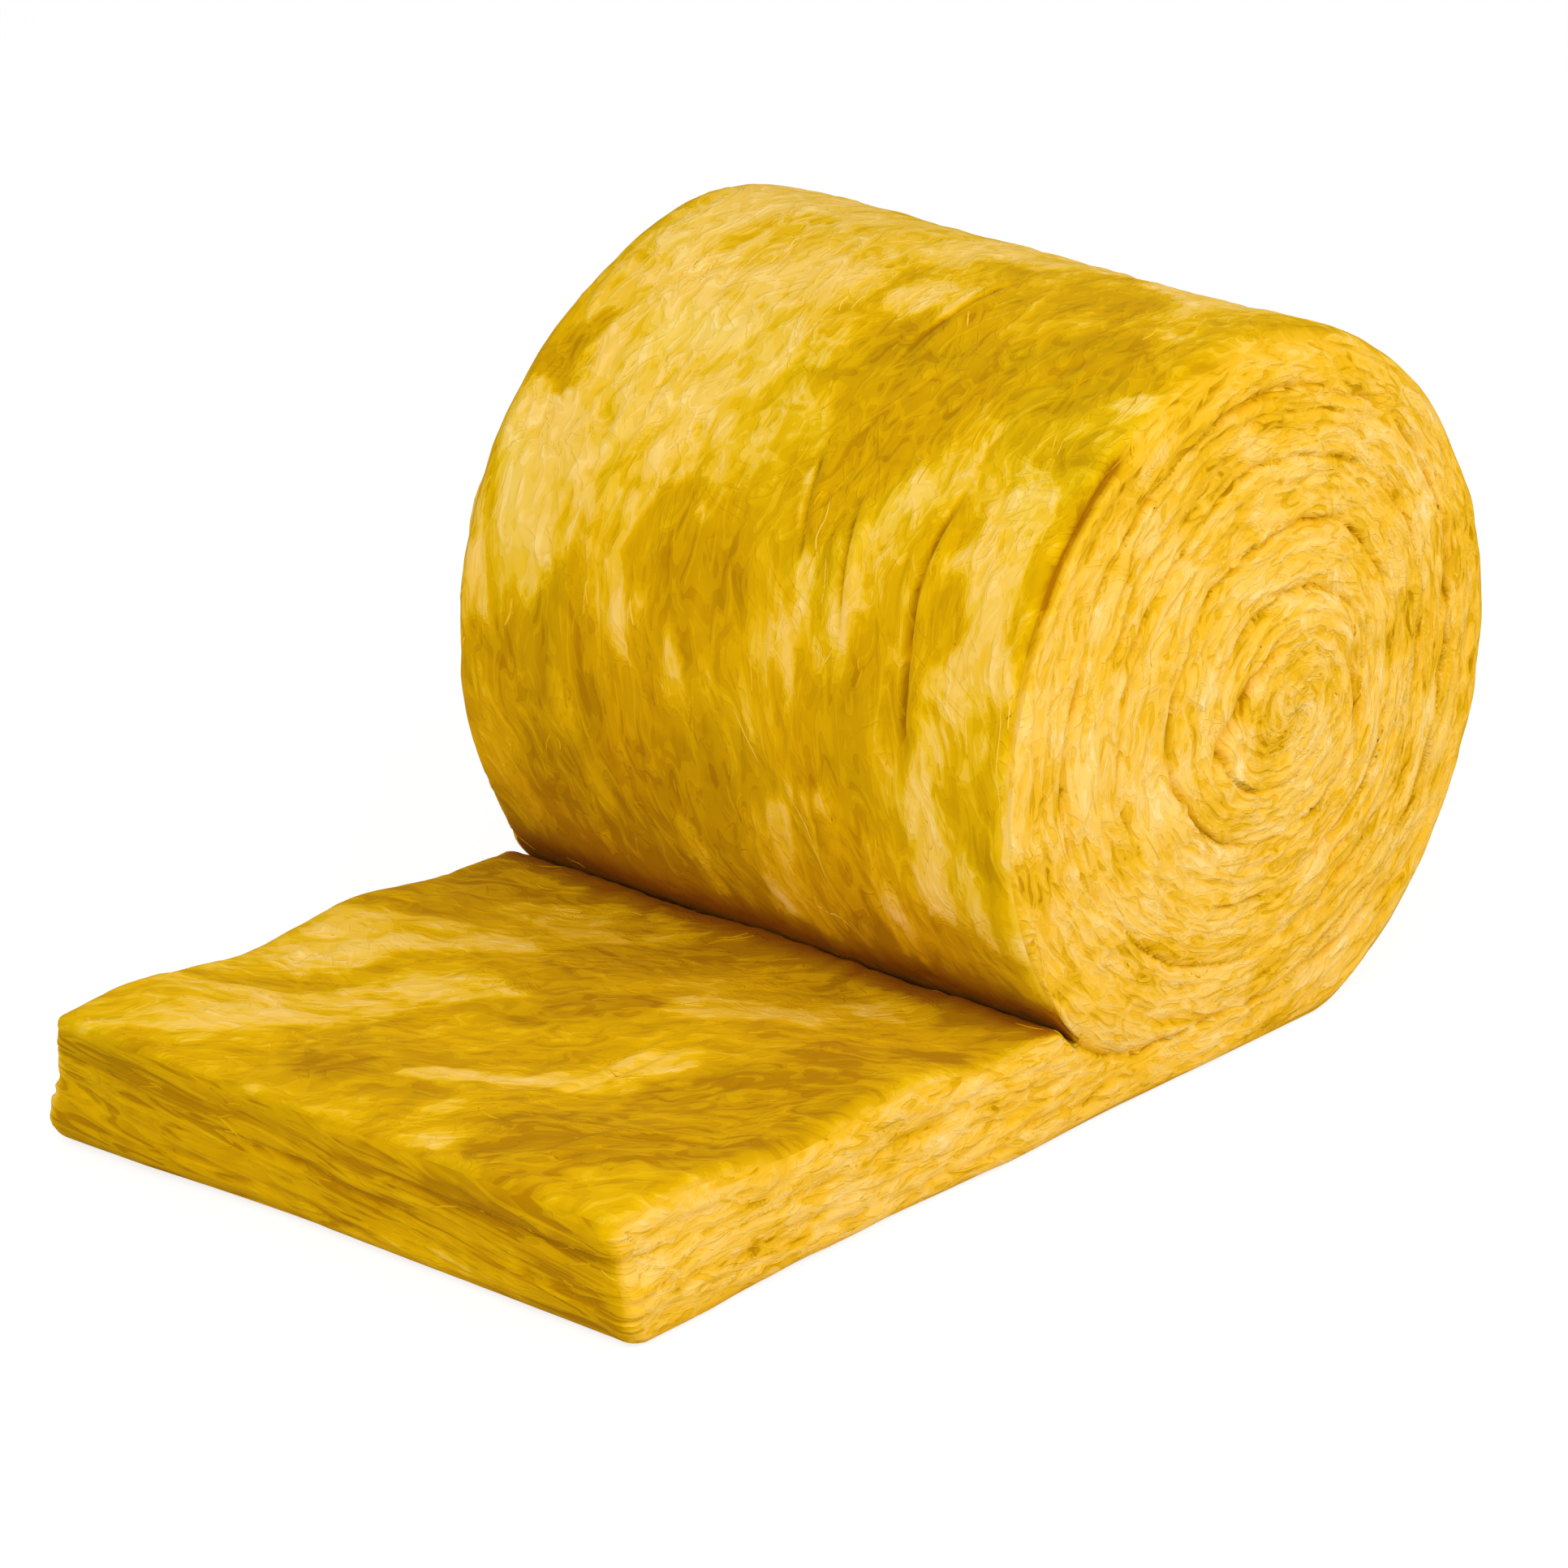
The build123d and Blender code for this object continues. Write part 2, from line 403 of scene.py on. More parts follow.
def ease(value, low, high):
    """0 below low, 1 above high and smooth between them; low may be the larger one."""
    share = np.clip((value - low) / (high - low), 0, 1)
    return share * share * (3 - 2 * share)


def between(value, first, last, rise, fall):
    """1 from first to last and 0 outside, eased in and out inside those ends."""
    return ease(value, first, first + rise) * ease(value, last, last - fall)


def bell(value):
    """1 at 0, and falling off on both sides."""
    return np.exp(-(value**2))


# The section: one outline, and the seam inside it

def tangent_arc(radius, lowest):
    """Angle where the roll's circle meets an inner arc of that radius, tangent to a level line."""
    return math.asin((AXIS_Z - lowest - radius) / (ROLL_RADIUS - radius))


FLOOR_ANGLE = -tangent_arc(FLOOR_CORNER, 0)
FLOOR_CORNER_X = AXIS_X + (ROLL_RADIUS - FLOOR_CORNER) * math.cos(FLOOR_ANGLE)
NIP_ANGLE = math.pi + tangent_arc(DIVE_RADIUS, FIRST_SEAM_HEIGHT)
NIP_X = AXIS_X + ROLL_RADIUS * math.cos(NIP_ANGLE)
NIP_Z = AXIS_Z + ROLL_RADIUS * math.sin(NIP_ANGLE)
DIVE_X = AXIS_X + (ROLL_RADIUS - DIVE_RADIUS) * math.cos(NIP_ANGLE)
DIVE_Z = FIRST_SEAM_HEIGHT + DIVE_RADIUS


def from_axis(x, z):
    """Distance from the roll's axis."""
    return np.hypot(x - AXIS_X, z - AXIS_Z)


def from_nip(x, z):
    """Distance from the nip."""
    return np.hypot(x - NIP_X, z - NIP_Z)


def roll_angle(x, z):
    """Angle round the roll in degrees, from +X over the top; it starts and ends at the floor."""
    return (np.degrees(np.arctan2(z - AXIS_Z, x - AXIS_X)) + 90) % 360 - 90


def arc(centre_x, centre_z, radius, start, end, step):
    """Points on an arc of the section, its first one left out."""
    count = max(2, round(abs(end - start) * radius / step))
    angles = np.linspace(start, end, count + 1)[1:]
    return stack(centre_x + radius * np.cos(angles), centre_z + radius * np.sin(angles))


def straight(start, end, step):
    """Points on a straight stretch of the section, its first one left out."""
    start, end = np.array(start), np.array(end)
    count = max(1, round(np.linalg.norm(end - start) / step))
    return start + np.linspace(0, 1, count + 1)[1:, None] * (end - start)


def tail_top(start):
    """Points along the tail's wavy top, from the lip beside the nip to the cut end."""
    reach = TAIL_END_X + TOP_CORNER - start[0]
    share = np.linspace(0, 1, round(-reach / OUTLINE_STEP) + 1)[1:]
    waves = WAVE_HEIGHT * np.sin(TAU * WAVE_COUNT * share) * ease(share, 0, 0.1)
    return stack(start[0] + share * reach, start[1] + share * (TAIL_THICKNESS - start[1]) - waves)


def section_outline():
    """The outline's points, anticlockwise from its lower corner, and how far each is cut end."""
    floor = straight((TAIL_END_X + TAIL_CORNER, 0.0), (FLOOR_CORNER_X, 0.0), FLOOR_STEP)
    corner = arc(FLOOR_CORNER_X, FLOOR_CORNER, FLOOR_CORNER, -math.pi / 2, FLOOR_ANGLE, OUTLINE_STEP)
    near_nip = NIP_ANGLE - NIP_APPROACH
    skin = arc(AXIS_X, AXIS_Z, ROLL_RADIUS, FLOOR_ANGLE, near_nip, OUTLINE_STEP)
    nip_skin = arc(AXIS_X, AXIS_Z, ROLL_RADIUS, near_nip, NIP_ANGLE, NIP_STEP)
    cleft_end, mouth = NIP_ANGLE + CLEFT_TURN, NIP_ANGLE + CLEFT_MOUTH
    cleft_in = arc(DIVE_X, DIVE_Z, DIVE_RADIUS, NIP_ANGLE, cleft_end, NIP_STEP)
    cleft_out = arc(DIVE_X, DIVE_Z, DIVE_RADIUS + CLEFT_GAP, cleft_end, mouth, NIP_STEP)
    lip_centre = cleft_out[-1] + LIP_RADIUS * np.array([math.cos(NIP_ANGLE), math.sin(NIP_ANGLE)])
    lip = arc(*lip_centre, LIP_RADIUS, NIP_ANGLE - math.pi, math.pi / 2, NIP_STEP)
    top = tail_top(lip[-1])
    upper = arc(*(top[-1] - (0, TOP_CORNER)), TOP_CORNER, math.pi / 2, math.pi, NIP_STEP)
    end = straight(upper[-1], (TAIL_END_X, TAIL_CORNER), NIP_STEP)
    lower_x = TAIL_END_X + TAIL_CORNER
    lower = arc(lower_x, TAIL_CORNER, TAIL_CORNER, math.pi, 1.5 * math.pi, NIP_STEP)
    uncut = [floor, corner, skin, nip_skin, cleft_in, cleft_out, lip, top]
    cut = [np.zeros(sum(map(len, uncut))), np.linspace(0, 1, len(upper)), np.ones(len(end))]
    return np.concatenate([*uncut, upper, end, lower]), np.concatenate([
        *cut, np.linspace(1, 0, len(lower)),
    ])


def seam_drop(x, z):
    """Height above the seam's first stretch, which dives from the nip and runs level to the axis."""
    arc_height = DIVE_Z - np.sqrt(np.maximum(DIVE_RADIUS**2 - (x - DIVE_X) ** 2, 0))
    return z - np.where(x < DIVE_X, arc_height, FIRST_SEAM_HEIGHT)


def spiral_centre(turns):
    """The spiral's centre as seen from that many turns deep."""
    drift = np.clip(turns, *DRIFTING_TURNS)
    return AXIS_X - SPIRAL_WIDENING + EYE_DRIFT[0] * drift, SPIRAL_HEIGHT + EYE_DRIFT[1] * drift


def spiral_point(turns, part):
    """A point on the spiral, after that many whole and part turns from its outer end."""
    angle = TAU * (part - 0.25)
    reach = SPIRAL_RADIUS - PITCH * turns + SPIRAL_WIDENING * np.cos(angle) ** 2
    centre_x, centre_z = spiral_centre(turns)
    return stack(centre_x + reach * np.cos(angle), centre_z + reach * np.sin(angle))


def unwound(x, z):
    """How many turns deep each point lies, and its part of a turn from the bottom."""
    turns = np.full(np.shape(x), 2.0)
    for _ in range(6):
        centre_x, centre_z = spiral_centre(turns)
        across_x, across_z = x - centre_x, z - centre_z
        reach = np.hypot(across_x, across_z) + 1e-9
        turns = (SPIRAL_RADIUS + SPIRAL_WIDENING * (across_x / reach) ** 2 - reach) / PITCH
    return turns, (np.arctan2(across_z, across_x) / TAU + 0.25) % 1


def wound_length(done):
    """Length of the seam after that many turns; it is negative in the outermost turn."""
    return TAU * (SPIRAL_RADIUS * done - PITCH * done**2 / 2)


def tail_length(x):
    """The same length, carried on along the tail."""
    return wound_length(-1) + x - AXIS_X


def winding(x, z):
    """Turn (-1 is the outermost, -2 the tail) and part of it, depth from its outer side, length."""
    turns, part = unwound(x, z)
    turn = np.clip(np.floor(turns - part), -1, INNERMOST_TURN)
    in_tail = (x < AXIS_X) & (seam_drop(x, z) < 0)
    depth = np.where(in_tail, z + PITCH - FIRST_SEAM_HEIGHT, (turns - part - turn) * PITCH)
    length = np.where(in_tail, tail_length(x), wound_length(turn + part))
    return np.where(in_tail, -2, turn), part, depth, length


def wander(x, z):
    """How far the wound layers wander from their even spiral."""
    total = sum(
        WANDER / part * stack(*(noise(x / size, z / size, seed) for seed in seeds))
        for size, part, *seeds in WANDER_SCALES
    )
    return total * ease(from_nip(x, z), *WANDER_START)[..., None]


def evened(x, z):
    """Places in the section with the wander of the layers taken out."""
    shift = wander(x, z)
    return x + shift[..., 0], z + shift[..., 1]


# The mesh: rows of the outline across the width, two soft rims and two ends

def outline_frame(points):
    """Outward normals of the closed outline, and the length along it at each point."""
    back = points - np.roll(points, 1, axis=0)
    along = np.roll(points, -1, axis=0) - np.roll(points, 1, axis=0)
    along = along / np.linalg.norm(along, axis=1)[:, None]
    return stack(along[:, 1], -along[:, 0]), np.cumsum(np.linalg.norm(back, axis=1))


def smooth_ring(values, reach, passes=3):
    """The values round the outline, each averaged with its neighbours."""
    for _ in range(passes):
        values = sum(np.roll(values, shift) for shift in range(-reach, reach + 1)) / (2 * reach + 1)
    return values


def rim_radii(outline, top_softness):
    """How round the rim is along the outline: softest over the top, least in the cleft."""
    x, z = outline.T
    middle, spread = SOFT_TOP
    on_roll = from_axis(x, z) > ROLL_RADIUS - SKIN_TOLERANCE
    radii = np.where(on_roll & (z > NIP_Z), RIM_RADIUS, TAIL_RIM_RADIUS)
    radii = radii + top_softness * bell((roll_angle(x, z) - middle) / spread) * on_roll
    in_cleft = (from_nip(x, z) < 0.045) & (x > NIP_X - 0.010)
    return smooth_ring(np.where(in_cleft, CLEFT_RIM_RADIUS, radii), 3)


def width_rows():
    """Distances of the skin's rows from the near end, closer together at the creases."""
    last = 2 * HALF_WIDTH - RIM_RADIUS
    rows = np.linspace(RIM_RADIUS, last, round((last - RIM_RADIUS) / WIDTH_STEP) + 1)
    for place, *_ in SKIN_CREASES:
        rows = rows[np.abs(rows - place) > (CREASE_ROWS + 0.5) * CREASE_STEP]
        rows = np.append(rows, place + CREASE_STEP * np.arange(-CREASE_ROWS, CREASE_ROWS + 1))
    return np.sort(rows)


def grid_rows(near_radii, far_radii):
    """For each row and outline point: inset into the wool, distance from the near end, and tilt."""
    bends = np.linspace(0, math.pi / 2, RIM_ROWS + 1)[1:, None]
    inner = width_rows()[:, None]
    width = 2 * HALF_WIDTH
    near_share = np.clip((RIM_BLEND - inner) / (RIM_BLEND - RIM_RADIUS), 0, 1)
    far_share = np.clip((RIM_BLEND - width + inner) / (RIM_BLEND - RIM_RADIUS), 0, 1)
    middle = inner + near_share * (near_radii - RIM_RADIUS) - far_share * (far_radii - RIM_RADIUS)
    sunk, left = 1 - np.cos(bends), 1 - np.sin(bends)
    inset = np.concatenate([(near_radii * sunk)[::-1], 0 * middle, far_radii * sunk])
    distance = np.concatenate([(near_radii * left)[::-1], middle, width - far_radii * left])
    tilt = np.concatenate([-bends[::-1], 0 * inner, bends]) * np.ones(len(near_radii))
    return inset, distance, tilt


def inside(points, ring, margin, batch=2000):
    """Which points lie inside the ring, at least the margin away from it."""
    starts, ends = ring, np.roll(ring, -1, axis=0)
    rise = ends[:, 1] - starts[:, 1]
    rise = np.where(rise == 0, 1e-12, rise)
    result = np.zeros(len(points), bool)
    for first in range(0, len(points), batch):
        part = points[first:first + batch, None, :]
        above = (starts[:, 1] > part[..., 1]) != (ends[:, 1] > part[..., 1])
        crossing = starts[:, 0] + (part[..., 1] - starts[:, 1]) * (ends[:, 0] - starts[:, 0]) / rise
        odd = np.sum(above & (part[..., 0] < crossing), axis=1) % 2 == 1
        apart = np.min(np.sum((part - starts) ** 2, axis=2), axis=1) > margin**2
        result[first:first + batch] = odd & apart
    return result


def spiral_rows(row_step, point_step):
    """Points in rows that follow the turns, closer together at the seam."""
    beside = SEAM_ROWS[-1]
    between_seams = np.arange(beside + row_step, PITCH - beside - row_step / 2, row_step)
    found = []
    for across in (*SEAM_ROWS, *between_seams):
        widest = SPIRAL_RADIUS - across + PITCH
        length = np.arange(0, TAU * widest**2 / (2 * PITCH), point_step)
        length = length + point_step * (across * ROW_STAGGER % 1)
        left = np.sqrt(np.maximum(widest**2 - 2 * PITCH * length / TAU, 0))
        done = (widest - left) / PITCH - 1
        found.append(spiral_point(done + across / PITCH, done % 1))
    found = np.concatenate(found)
    return found[(seam_drop(*found.T) > SEAM_CLEARANCE) | (found[:, 0] > AXIS_X)]


def end_points(row_step, point_step):
    """Points inside an end: along the turns, along the seam's first stretch and along the tail."""
    found = [spiral_rows(row_step, point_step)]
    angles = np.arange(NIP_ANGLE + CLEFT_TURN, 1.5 * math.pi, point_step / DIVE_RADIUS)
    level = np.arange(DIVE_X, AXIS_X, point_step)
    for across in SEAM_ROWS:
        reach = DIVE_RADIUS - across
        found.append(stack(DIVE_X + reach * np.cos(angles), DIVE_Z + reach * np.sin(angles)))
        found.append(stack(level, np.full(len(level), FIRST_SEAM_HEIGHT + across)))
    along, up = np.arange(TAIL_END_X, AXIS_X, point_step), np.arange(0.004, 0.11, row_step)
    tail = stack(*np.meshgrid(along, up)).reshape(-1, 2)
    tail[:, 0] += point_step / 2 * (np.round(tail[:, 1] / row_step) % 2)
    found = np.concatenate([*found, tail[seam_drop(*tail.T) < -SEAM_CLEARANCE]])
    nearly = found - wander(*found.T)
    return found - wander(*nearly.T)


def triangulate(ring, points):
    """Triangles over the ring and the points inside it; the ring's points keep their numbers."""
    every = np.concatenate([ring, points])
    made = delaunay_2d_cdt([Vector(place) for place in every], [], [list(range(len(ring)))], 1, 1e-7)
    order = np.array([origins[0] if origins else -1 for origins in made[3]])
    triangles = order[np.array([face for face in made[2] if len(face) == 3])]
    triangles = triangles[np.all(triangles >= 0, axis=1)]
    a, b, c = (every[triangles[:, corner]] for corner in range(3))
    area = (b[:, 0] - a[:, 0]) * (c[:, 1] - a[:, 1]) - (b[:, 1] - a[:, 1]) * (c[:, 0] - a[:, 0])
    triangles[area < 0] = triangles[area < 0][:, ::-1]
    return triangles


# Relief: how far each point of the wool stands out of its even form, in metres

def seam_distance(x, z, turn, depth):
    """Distance to the nearest stretch of the seam that shows on an end, from an evened place."""
    unseen = 1.0
    outer = np.where(turn >= 0, depth, unseen)
    inner = np.where((turn >= -1) & (turn < INNERMOST_TURN), PITCH - depth, unseen)
    dive = np.abs(np.hypot(x - DIVE_X, z - DIVE_Z) - DIVE_RADIUS)
    first = np.where(x < DIVE_X, dive, np.abs(z - FIRST_SEAM_HEIGHT))
    first = np.where((x > NIP_X - 0.01) & (x < AXIS_X) & (z < DIVE_Z), first, unseen)
    return np.minimum(np.minimum(np.abs(outer), np.abs(inner)), first)


def end_relief(x, z, seed):
    """Relief of an end of the roll and of a side of the tail, and how deep the seam is there."""
    even_x, even_z = evened(x, z)
    turn, _, depth, length = winding(even_x, even_z)
    apart = seam_distance(even_x, even_z, turn, depth)
    strength = ease(layered(length / 0.14, turn * 0.4, seed + 1.5), -0.40, 0.35)
    strength = strength * np.where(turn >= 3, 0.25, 1)
    strength = np.maximum(strength, ease(from_nip(x, z), 0.16, 0.03))
    seam = strength * bell(apart / SEAM_HALF_WIDTH)
    beside = strength * bell(apart / (3.5 * SEAM_HALF_WIDTH))
    uneven = np.where(turn > -2, noise(length / 0.34, turn * 3.7, seed), 0)
    height = -SEAM_DEPTH * (seam + 0.45 * beside)
    height += 0.0035 * uneven * ease(apart, 0, 0.02) + 0.0030 * noise(x / 0.13, z / 0.13, seed + 9)
    flakes = ridges(length / 0.060, depth / 0.016, seed + 2)
    flakes += 0.3 * noise(length / 0.020, depth / 0.007, seed + 3)
    height += 0.0008 - 0.0026 * flakes
    sheets = depth / 0.015 + 1.1 * noise(length / 0.12, depth / 0.03, seed + 5)
    torn = ease(noise(length / 0.16, depth / 0.025, seed + 6), -0.3, 0.5)
    height += 0.0030 * torn * (terrace(sheets) - 0.5)
    edges = torn * np.clip(1 - np.abs(sheets % 1 - 0.88) / 0.16, 0, 1)
    return height, seam + 0.7 * edges * (1 - seam)


def cut_relief(place, distance, level):
    """Relief of the cut end's layers, and the shadow under its top sheet."""
    down = place + CUT_SLANT * distance
    height = 0.0014 * (ridges(distance / 0.22, down / 0.022, 3.3) - 0.5)
    height += 0.0012 * noise(distance / 0.16, down / 0.010, 5.1)
    height += 0.003 * noise(distance / 0.11, place / 0.06, 1.2)
    sag = LIP_SAG * noise(distance / 0.11, 0.5, 7.7)
    lip = bell((level - LIP_HEIGHT - sag) / 0.009)
    under = bell((level - LIP_HEIGHT + LIP_SHADOW - 1.6 * sag) / 0.008)
    return height + 0.0006 * lip - 0.0010 * under, under


def skin_relief(place, distance, angle, on_top):
    """Relief of the skin round the roll and of the tail's top, and the creases' depth."""
    height = sum(
        rise * noise(place / long, distance / wide, seed) for rise, long, wide, seed in SKIN_WAVES
    )
    height += 0.0007 * noise(place / 0.050, (distance + place * 0.12) / 0.0105, 7.3)
    sheets = distance / 0.045 + 1.3 * noise(place / 0.20, distance / 0.07, 8.8)
    torn = ease(noise(place / 0.18, distance / 0.06, 3.9), -0.1, 0.6)
    height += 0.0024 * torn * (terrace(sheets) - 0.5)
    pits = ease(noise(place / 0.016, distance / 0.014, 11.5), 0.45, 0.9)
    height -= 0.0020 * pits
    crease = np.zeros(np.shape(place))
    for middle, first, last, drift, half_width, depth in SKIN_CREASES:
        swing = 0.005 * np.sin((angle - first) / 13)
        centre = middle + swing + drift * ((angle - first) / (last - first) - 0.5)
        runs = between(angle, first, last, 8, 8) * on_top
        line = runs * bell((distance - centre) / half_width)
        lip = runs * bell((distance - centre + 0.011) / 0.009)
        crease += line
        height += 0.003 * lip - depth * line
    return height, crease


def rim_groove(angle, tilt, on_top):
    """Height and depth of the groove along the near end's rim; its inner side has a raised lip."""
    first, last, middle, spread, depth = RIM_GROOVE
    runs = between(angle, first, last, 6, 28) * on_top * (tilt < 0)
    middle = middle + 0.12 * noise(angle / 9, 0.5, 3.3)
    line = runs * bell((-tilt - middle) / spread)
    lip = runs * bell((-tilt - middle - 0.5) / 0.3)
    return 0.004 * lip - depth * line, line


def folds(points):
    """How deep the folds and crevices cut at each point, and how near each point is to one."""
    stray = stack(*(noise(*(points.T / 0.045 + 7.7 * axis)) for axis in range(3)))
    depth, nearness = np.zeros(len(points)), np.zeros(len(points))
    for *places, half_width, deepest in FOLDS:
        first, last = np.reshape(places, (2, 3)) - (0, HALF_WIDTH, 0)
        along = last - first
        share = (points - first) @ along / (along @ along)
        gap = points + 0.006 * stray - first - np.clip(share, 0, 1)[:, None] * along
        line = np.exp(-np.sum(gap**2, axis=1) / half_width**2)
        line *= ease(share, -0.05, 0.2) * ease(share, 1.05, 0.8)
        depth += deepest * line
        nearness = np.maximum(nearness, line)
    return depth, nearness


def bulge(angle, distance, on_top):
    """Wide bulges and flats of the roll, from how it was rolled up."""
    return on_top * sum(
        rise * bell((angle - middle) / spread) * bell((distance - place) / reach)
        for middle, place, spread, reach, rise in BULGES
    )


def flare(points):
    """How far the tail's corners are pulled out of square."""
    x, y, z = points.T
    moved = np.zeros(points.shape)
    for side, top, way in FLARES:
        share = ease(x, FLARE_START, TAIL_END_X) * ease(side * y, 0.02, HALF_WIDTH)
        moved[:, :2] += (share * ease(z, top, top - 0.045))[:, None] * way
    return moved


# Colour: how pale each point is, from noise and a few soft patches

def tail_fibres(x, y):
    """Places on the tail's top, along its fibres and across them."""
    return x * FIBRE_COS + y * FIBRE_SIN, y * FIBRE_COS - x * FIBRE_SIN


def along_tail(points):
    """Points with the first axis along the tail's fibres and drawn out."""
    x, y, z = np.asarray(points, float).T
    along, across = tail_fibres(x, y)
    return stack(TAIL_PATCH_STRETCH * along, across, z)


def unrolled(points):
    """Points of the roll's skin laid flat, with the first axis round the roll and drawn out."""
    x, y, z = np.asarray(points, float).T
    round_way = ROLL_RADIUS * np.radians(roll_angle(x, z))
    height = from_axis(x, z) - ROLL_RADIUS
    return stack(FLECK_STRETCH * round_way, y + FLECK_SLANT * round_way, height)


def on_skin(angle, distance):
    """A point of the roll's skin at that angle and distance from the near end."""
    turned = math.radians(angle)
    across, up = ROLL_RADIUS * math.cos(turned), ROLL_RADIUS * math.sin(turned)
    return AXIS_X + across, distance - HALF_WIDTH, AXIS_Z + up


def on_tail(x, distance):
    """A point of the tail's top at that X and distance from the near end."""
    return x, distance - HALF_WIDTH, TAIL_THICKNESS


def blotches(points, patches, put, form, seed):
    """Soft uneven patches added up; put gives a patch's point, and form draws all points out."""
    points = form(points)
    x, y, z = points.T
    stray = stack(*(layered(x / 0.09, y / 0.07, z / 0.09 + seed + 5 * axis) for axis in range(3)))
    total = np.zeros(len(points))
    for *place, radius, strength in patches:
        strayed = points + PATCH_STRAY * radius**0.5 * stray
        reach = np.linalg.norm(strayed - form(put(*place)), axis=1)
        total += strength * ease(reach, 1.2 * radius, 0.75 * radius)
    return total


def paleness(points, place, distance, endness, cut):
    """How pale the wool is, from about 0, deep gold, to 1, cream."""
    x, y, z = points.T
    cloud = blotches(points, ROLL_PATCHES, on_skin, np.asarray, 2.0)
    cloud += blotches(points, FLECKS, on_skin, unrolled, 14.0)
    smears = blotches(points, TAIL_PATCHES, on_tail, along_tail, 9.0)
    cloud += smears * (1 - cut) * (x < NIP_X) * ease(z, 0.14, 0.12)
    cloud += 0.10 * layered(x / 0.12, y / 0.09, z / 0.12 + 4)
    cloud += 0.06 * noise(place / 0.10, distance / 0.013, 6.6)
    skin = SKIN_TONE + 0.32 * np.tanh(cloud / 0.22)
    skin -= TAIL_TONE * ease(x, NIP_X + 0.02, NIP_X - 0.02) * ease(z, 0.14, 0.11)
    skin -= cut * (CUT_TONE + CUT_TOP_TONE * ease(z, 0.060, 0.080))
    off_skin = from_axis(x, z) - ROLL_RADIUS
    # Painted shade: the roll's skin low down beside the nip is deeper
    skin -= LOW_SHADE_TONE * ease(roll_angle(x, z), 160, 205) * ease(off_skin, 0.030, 0.003)
    end = END_TONE + 0.14 * layered(x / 0.07, z / 0.07, y + 2.2)
    end -= 0.14 * ease(x, 0.43, 0.54) + 0.08 * ease(z, 0.42, 0.56)
    for middle_x, middle_z, spread, strength in END_PATCHES:
        spot = bell((x - middle_x) / spread) * bell((z - middle_z) / spread / 2)
        end += strength * spot * (y < 0)
    return skin + (end - skin) * endness


# The roll itself

def blanket_form():
    """The blanket's even form: its points, the way each faces, its place on the outline, how far it
    is cut end, the tilt of the rim there, and the faces."""
    outline, cut = section_outline()
    normals, lengths = outline_frame(outline)
    radii = (rim_radii(outline, softness) for softness in (TOP_SOFTNESS, TOP_SOFTNESS / 3))
    inset, distance, tilt = grid_rows(*radii)
    x = outline[:, 0] - normals[:, 0] * inset
    z = outline[:, 1] - normals[:, 1] * inset
    facing = stack(normals[:, 0] * np.cos(tilt), np.sin(tilt), normals[:, 1] * np.cos(tilt))
    points = [stack(x, distance - HALF_WIDTH, z).reshape(-1, 3)]
    ways = [facing.reshape(-1, 3)]
    number = np.arange(x.size).reshape(x.shape)
    following = np.roll(number, -1, axis=1)
    faces = [stack(number[:-1], number[1:], following[1:], following[:-1]).reshape(-1, 4)]
    total = x.size
    for side, row, factor in ((-1, 0, 1.0), (1, -1, FAR_STEP_FACTOR)):
        ring = stack(x[row], z[row])
        inner = end_points(NEAR_ROW_STEP * factor, NEAR_POINT_STEP * factor)
        inner = inner[inside(inner, ring, NEAR_RING_MARGIN * factor)]
        numbers = np.append(number[row], total + np.arange(len(inner)))
        faces.append(numbers[triangulate(ring, inner)[:, ::-side]])
        points.append(stack(inner[:, 0], np.full(len(inner), side * HALF_WIDTH), inner[:, 1]))
        ways.append(np.tile((0.0, side, 0.0), (len(inner), 1)))
        total += len(inner)
    added = total - x.size
    lengths, cut = (
        np.append(np.broadcast_to(values, x.shape), np.zeros(added)) for values in (lengths, cut)
    )
    tilt = np.append(tilt, np.full(added, math.pi / 2))
    return np.concatenate(points), np.concatenate(ways), lengths, cut, tilt, faces


